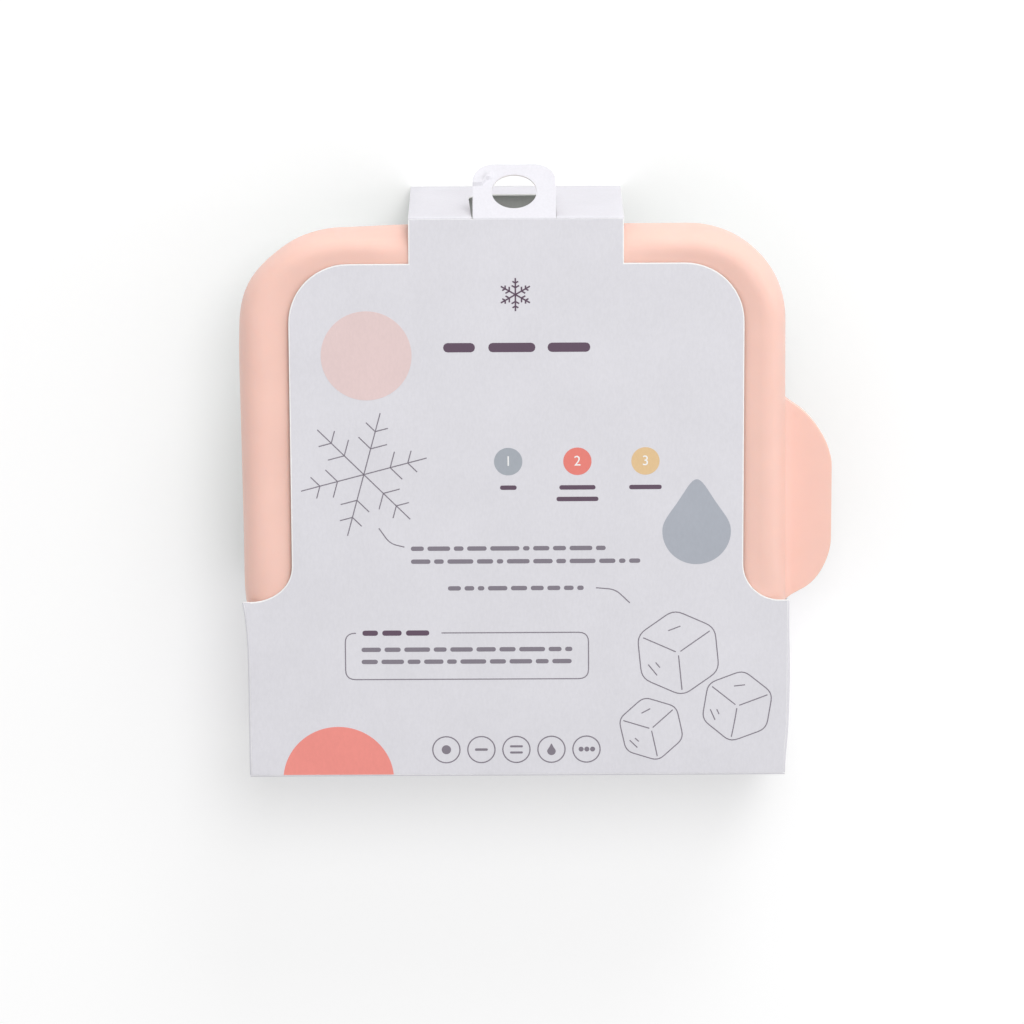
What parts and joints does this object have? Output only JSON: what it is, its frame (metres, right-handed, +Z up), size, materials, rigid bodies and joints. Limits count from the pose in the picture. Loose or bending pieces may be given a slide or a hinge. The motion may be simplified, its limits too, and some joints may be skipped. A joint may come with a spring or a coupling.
{
  "type": "ice cube tray in a card sleeve",
  "caption": "Soft square freezer tray of round cups with a snug rounded lid and side pull tab, held in a creased card sleeve with windows and a punched hang tab.",
  "frame": {"origin": "middle of the sleeve's footprint, on the face the pack lies on", "axes": "+Z up through the lid, +Y to the hang tab, +X to the lid's pull tab"},
  "size_m": [0.1627, 0.1707, 0.0469],
  "materials": {
    "lid_silicone": "satin",
    "tray_silicone": "satin",
    "frame_plastic": "matte",
    "card": "uncoated matte"
  },
  "bodies": {
    "sleeve_back": {"back_panel": "card", "left_glue_flap": "card", "right_glue_flap": "card", "top_glue_flap": "card"},
    "tray": {"tray_deck": "tray_silicone", "rim_frame": "frame_plastic", "cup_wall_1": "tray_silicone", "cup_wall_2": "tray_silicone", "cup_wall_3": "tray_silicone", "cup_wall_4": "tray_silicone", "cup_wall_5": "tray_silicone", "cup_wall_6": "tray_silicone", "cup_wall_7": "tray_silicone", "cup_wall_8": "tray_silicone", "cup_wall_9": "tray_silicone"},
    "lid": {"lid": "lid_silicone"},
    "pull_tab": {"lid_pull_tab": "lid_silicone"},
    "sleeve_front": {"front_panel": "card"},
    "top_strap": {"top_panel": "card"},
    "hang_tab": {"hang_tab": "card"},
    "bottom_wall": {"bottom_panel": "card"},
    "left_wall": {"left_side_panel": "card"},
    "right_wall": {"right_side_panel": "card"},
    "floor_1": {"cup_floor_1": "tray_silicone"},
    "floor_2": {"cup_floor_2": "tray_silicone"},
    "floor_3": {"cup_floor_3": "tray_silicone"},
    "floor_4": {"cup_floor_4": "tray_silicone"},
    "floor_5": {"cup_floor_5": "tray_silicone"},
    "floor_6": {"cup_floor_6": "tray_silicone"},
    "floor_7": {"cup_floor_7": "tray_silicone"},
    "floor_8": {"cup_floor_8": "tray_silicone"},
    "floor_9": {"cup_floor_9": "tray_silicone"}
  },
  "joints": [
    {"name": "tray_lift", "type": "slide", "parent": "sleeve_back", "child": "tray", "axis": [0, 0, 1], "range_m": [0, 0.06]},
    {"name": "lid_lift", "type": "slide", "parent": "tray", "child": "lid", "axis": [0, 0, 1], "range_m": [0, 0.06]},
    {"name": "sleeve_lift", "type": "slide", "parent": "lid", "child": "sleeve_front", "axis": [0, 0, 1], "range_m": [0, 0.09]},
    {"name": "pull_tab_bend", "type": "hinge", "parent": "lid", "child": "pull_tab", "pos_m": [0.0753, -0.0006, 0.03695], "axis": [0, -1, 0], "range_deg": [-25, 75], "stiffness_Nm_per_rad": 0.02},
    {"name": "hang_tab_fold", "type": "hinge", "parent": "sleeve_front", "child": "hang_tab", "pos_m": [-0.0006, 0.07905, 0.0464], "axis": [1, 0, 0], "range_deg": [-37, 53]},
    {"name": "top_strap_fold", "type": "hinge", "parent": "sleeve_front", "child": "top_strap", "pos_m": [-0.00015, 0.07905, 0.0464], "axis": [1, 0, 0], "range_deg": [0, 90]},
    {"name": "bottom_wall_fold", "type": "hinge", "parent": "sleeve_front", "child": "bottom_wall", "pos_m": [0, -0.07905, 0.0464], "axis": [-1, 0, 0], "range_deg": [0, 90]},
    {"name": "left_wall_fold", "type": "hinge", "parent": "sleeve_front", "child": "left_wall", "pos_m": [-0.0749, -0.054, 0.0464], "axis": [0, 1, 0], "range_deg": [0, 90]},
    {"name": "right_wall_fold", "type": "hinge", "parent": "sleeve_front", "child": "right_wall", "pos_m": [0.0749, -0.054, 0.0464], "axis": [0, -1, 0], "range_deg": [0, 90]},
    {"name": "floor_1_push", "type": "slide", "parent": "tray", "child": "floor_1", "axis": [0, 0, 1], "range_m": [0, 0.008], "stiffness_N_per_m": 200},
    {"name": "floor_2_push", "type": "slide", "parent": "tray", "child": "floor_2", "axis": [0, 0, 1], "range_m": [0, 0.008], "stiffness_N_per_m": 200},
    {"name": "floor_3_push", "type": "slide", "parent": "tray", "child": "floor_3", "axis": [0, 0, 1], "range_m": [0, 0.008], "stiffness_N_per_m": 200},
    {"name": "floor_4_push", "type": "slide", "parent": "tray", "child": "floor_4", "axis": [0, 0, 1], "range_m": [0, 0.008], "stiffness_N_per_m": 200},
    {"name": "floor_5_push", "type": "slide", "parent": "tray", "child": "floor_5", "axis": [0, 0, 1], "range_m": [0, 0.008], "stiffness_N_per_m": 200},
    {"name": "floor_6_push", "type": "slide", "parent": "tray", "child": "floor_6", "axis": [0, 0, 1], "range_m": [0, 0.008], "stiffness_N_per_m": 200},
    {"name": "floor_7_push", "type": "slide", "parent": "tray", "child": "floor_7", "axis": [0, 0, 1], "range_m": [0, 0.008], "stiffness_N_per_m": 200},
    {"name": "floor_8_push", "type": "slide", "parent": "tray", "child": "floor_8", "axis": [0, 0, 1], "range_m": [0, 0.008], "stiffness_N_per_m": 200},
    {"name": "floor_9_push", "type": "slide", "parent": "tray", "child": "floor_9", "axis": [0, 0, 1], "range_m": [0, 0.008], "stiffness_N_per_m": 200}
  ]
}
